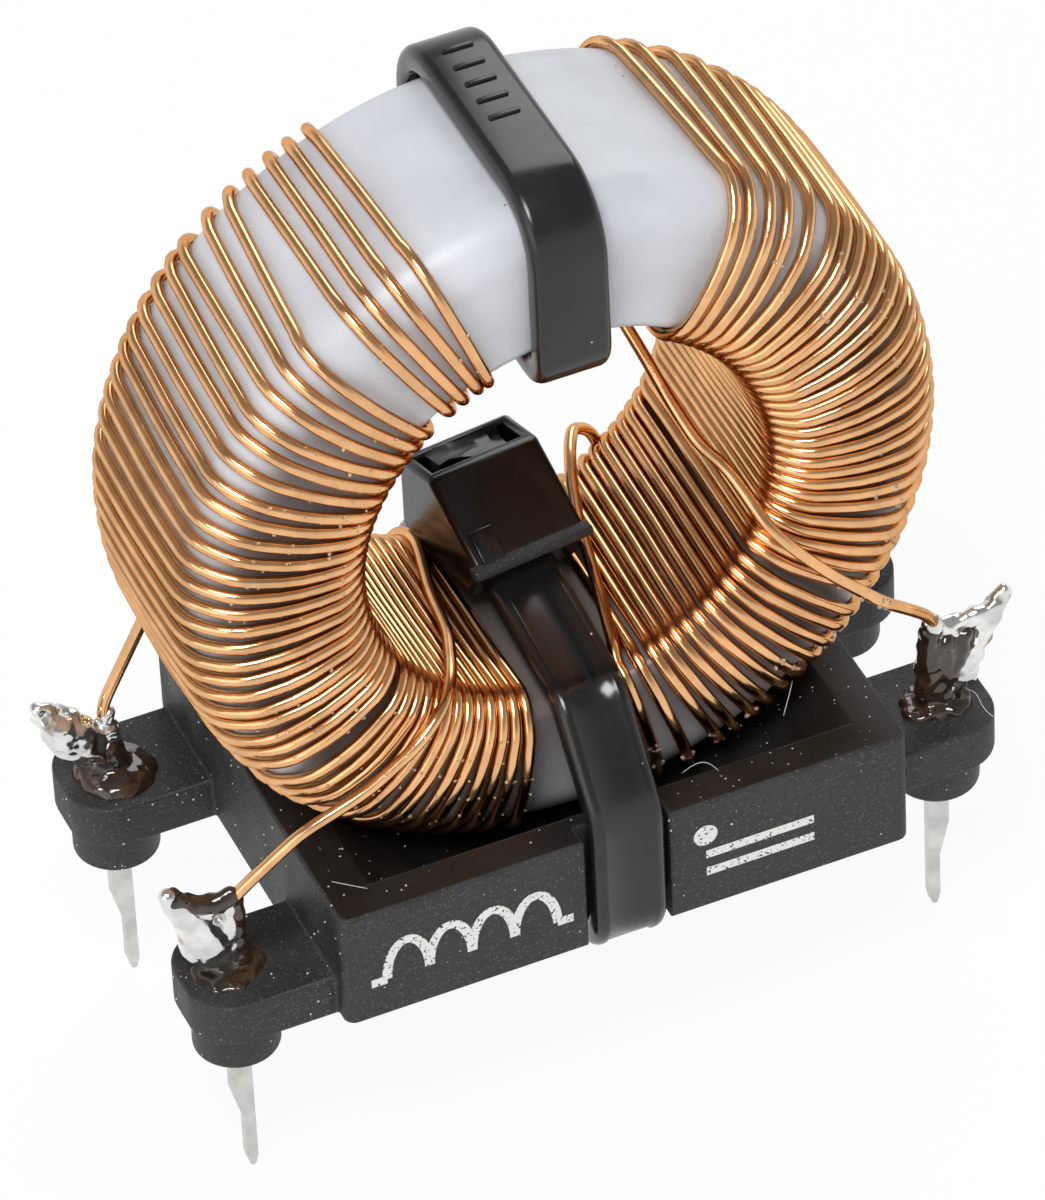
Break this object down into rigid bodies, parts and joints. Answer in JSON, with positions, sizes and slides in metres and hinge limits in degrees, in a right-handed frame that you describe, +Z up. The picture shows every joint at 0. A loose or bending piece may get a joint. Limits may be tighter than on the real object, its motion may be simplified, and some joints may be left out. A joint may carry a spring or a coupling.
{
  "type": "toroidal inductor",
  "caption": "Common-mode choke: a coated ring core with copper windings, strapped upright into a black moulded base with pins for a circuit board.",
  "frame": {"origin": "middle of the pin pattern on the plane where the standoffs meet the board", "axes": "+X along the base towards the end with the closer pins, -Y towards the front, +Z up"},
  "size_m": [0.031, 0.0162, 0.0359],
  "materials": {
    "grey_coating": "satin",
    "enamelled_copper": "gloss",
    "black_moulding": "matte",
    "black_nylon": "gloss",
    "tinned_pin": "satin",
    "solder": "gloss"
  },
  "bodies": {
    "root": {"coated_core": "grey_coating", "left_winding": "enamelled_copper", "right_winding": "enamelled_copper", "base": "black_moulding", "ring_tie": "black_nylon", "base_tie": "black_nylon", "front_left_pin": "tinned_pin", "front_left_solder": "solder", "rear_left_pin": "tinned_pin", "rear_left_solder": "solder", "front_right_pin": "tinned_pin", "front_right_solder": "solder", "rear_right_pin": "tinned_pin", "rear_right_solder": "solder"}
  },
  "joints": []
}
